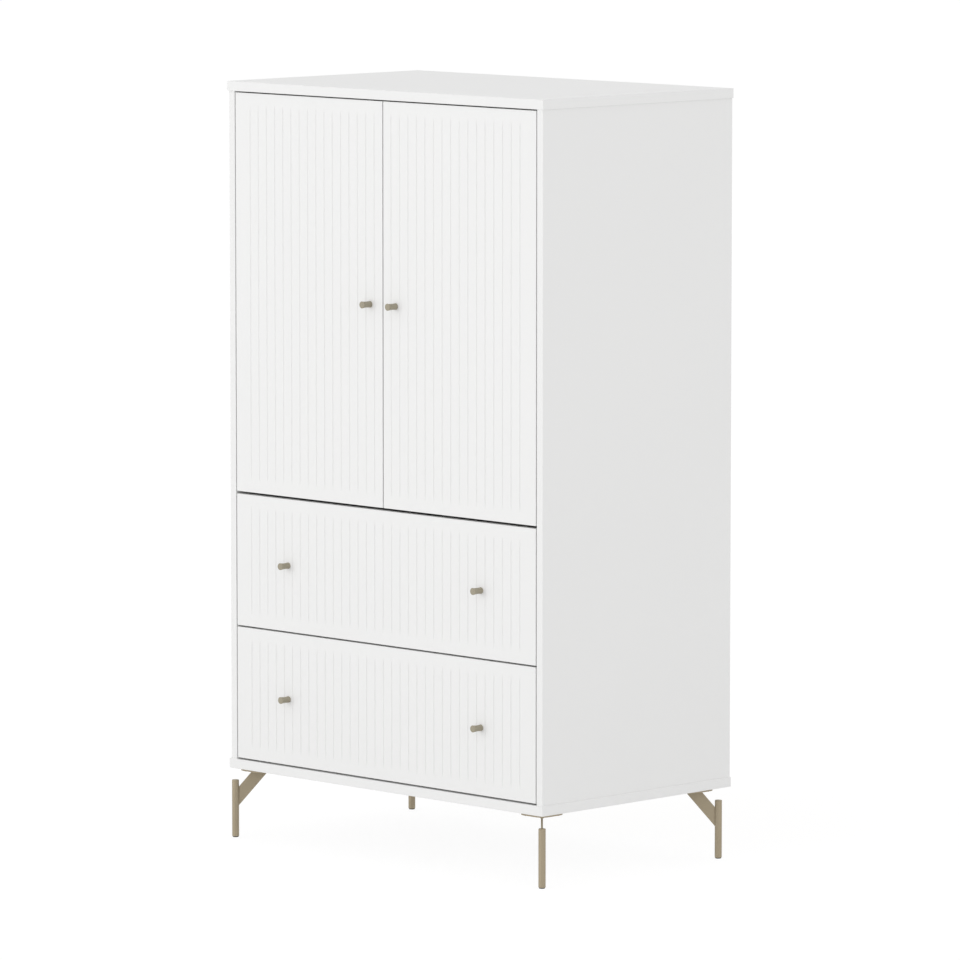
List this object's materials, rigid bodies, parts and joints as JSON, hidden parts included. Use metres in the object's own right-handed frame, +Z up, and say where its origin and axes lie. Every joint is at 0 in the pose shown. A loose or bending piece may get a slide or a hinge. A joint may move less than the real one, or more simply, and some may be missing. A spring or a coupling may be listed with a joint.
{
  "type": "wardrobe",
  "caption": "Free-standing white wardrobe with hinged grooved doors over full-width grooved drawers, on metal legs with slanting struts.",
  "frame": {"origin": "on the floor under the middle of the whole wardrobe, knobs included", "axes": "+Z up, +X to the right seen from the front, -Y out of the doors"},
  "size_m": [1, 0.625, 1.725],
  "materials": {
    "case_lacquer": "white satin lacquered board",
    "front_lacquer": "white satin lacquered grooved board",
    "back_board": "hardboard, painted white inside and raw brown fibre behind",
    "drawer_box_board": "white foil-faced board",
    "drawer_sheet": "hardboard, painted white inside and raw brown fibre behind",
    "champagne_metal": "satin champagne powder coat",
    "glide_plastic": "dark matt plastic",
    "nickel_hinge": "nickel-plated pressed steel",
    "plated_steel": "zinc-plated steel",
    "zinc_casting": "dull zinc casting",
    "runner_steel": "zinc-plated rolled steel",
    "rail_chrome": "bright chromed tube",
    "beech_dowel": "plain beech"
  },
  "bodies": {
    "case": {"top_panel": "case_lacquer", "bottom_panel": "case_lacquer", "side_panel_left": "case_lacquer", "side_panel_right": "case_lacquer", "fixed_divider": "case_lacquer", "back_panel_upper": "back_board", "back_panel_lower": "back_board", "back_nails": "plated_steel", "clothes_rail": "rail_chrome", "rail_holder_left": "rail_chrome", "rail_holder_right": "rail_chrome", "cam_locks": "zinc_casting", "cam_bolts": "plated_steel", "wood_dowels": "beech_dowel", "leg_front_left": "champagne_metal", "leg_front_right": "champagne_metal", "leg_back_left": "champagne_metal", "leg_back_right": "champagne_metal", "leg_glides": "glide_plastic", "leg_screws": "champagne_metal", "hinge_arms": "nickel_hinge", "hinge_plates": "nickel_hinge", "case_screws": "plated_steel", "case_runners_upper": "runner_steel", "case_runners_lower": "runner_steel"},
    "door_left": {"door_left": "front_lacquer", "door_knob_left": "champagne_metal", "door_knob_screw_left": "plated_steel", "hinge_cups_left": "nickel_hinge", "hinge_pins_left": "plated_steel", "hinge_screws_left": "plated_steel"},
    "door_right": {"door_right": "front_lacquer", "door_knob_right": "champagne_metal", "door_knob_screw_right": "plated_steel", "hinge_cups_right": "nickel_hinge", "hinge_pins_right": "plated_steel", "hinge_screws_right": "plated_steel"},
    "drawer_upper": {"drawer_upper_front": "front_lacquer", "drawer_upper_side_left": "drawer_box_board", "drawer_upper_side_right": "drawer_box_board", "drawer_upper_back": "drawer_box_board", "drawer_upper_bottom": "drawer_sheet", "drawer_upper_knob_left": "champagne_metal", "drawer_upper_knob_right": "champagne_metal", "drawer_upper_knob_screws": "plated_steel", "drawer_upper_runners": "runner_steel", "drawer_upper_runner_screws": "plated_steel"},
    "drawer_lower": {"drawer_lower_front": "front_lacquer", "drawer_lower_side_left": "drawer_box_board", "drawer_lower_side_right": "drawer_box_board", "drawer_lower_back": "drawer_box_board", "drawer_lower_bottom": "drawer_sheet", "drawer_lower_knob_left": "champagne_metal", "drawer_lower_knob_right": "champagne_metal", "drawer_lower_knob_screws": "plated_steel", "drawer_lower_runners": "runner_steel", "drawer_lower_runner_screws": "plated_steel"},
    "middle_runner_upper": {"middle_runners_upper": "runner_steel"},
    "middle_runner_lower": {"middle_runners_lower": "runner_steel"}
  },
  "joints": [
    {"name": "door_left_hinge", "type": "hinge", "parent": "case", "child": "door_left", "pos_m": [-0.4555, -0.2775, 1.2482], "axis": [0, 0, -1], "range_deg": [0, 100]},
    {"name": "door_right_hinge", "type": "hinge", "parent": "case", "child": "door_right", "pos_m": [0.4555, -0.2775, 1.2482], "axis": [0, 0, 1], "range_deg": [0, 100]},
    {"name": "drawer_upper_slide", "type": "slide", "parent": "case", "child": "drawer_upper", "axis": [0, -1, 0], "range_m": [0, 0.48]},
    {"name": "drawer_lower_slide", "type": "slide", "parent": "case", "child": "drawer_lower", "axis": [0, -1, 0], "range_m": [0, 0.48]},
    {"name": "middle_runner_upper_slide", "type": "slide", "parent": "case", "child": "middle_runner_upper", "axis": [0, -1, 0], "range_m": [0, 0.24]},
    {"name": "middle_runner_lower_slide", "type": "slide", "parent": "case", "child": "middle_runner_lower", "axis": [0, -1, 0], "range_m": [0, 0.24]}
  ],
  "couplings": [
    {"joint": "middle_runner_upper_slide", "follows": "drawer_upper_slide", "ratio": 0.5},
    {"joint": "middle_runner_lower_slide", "follows": "drawer_lower_slide", "ratio": 0.5}
  ]
}
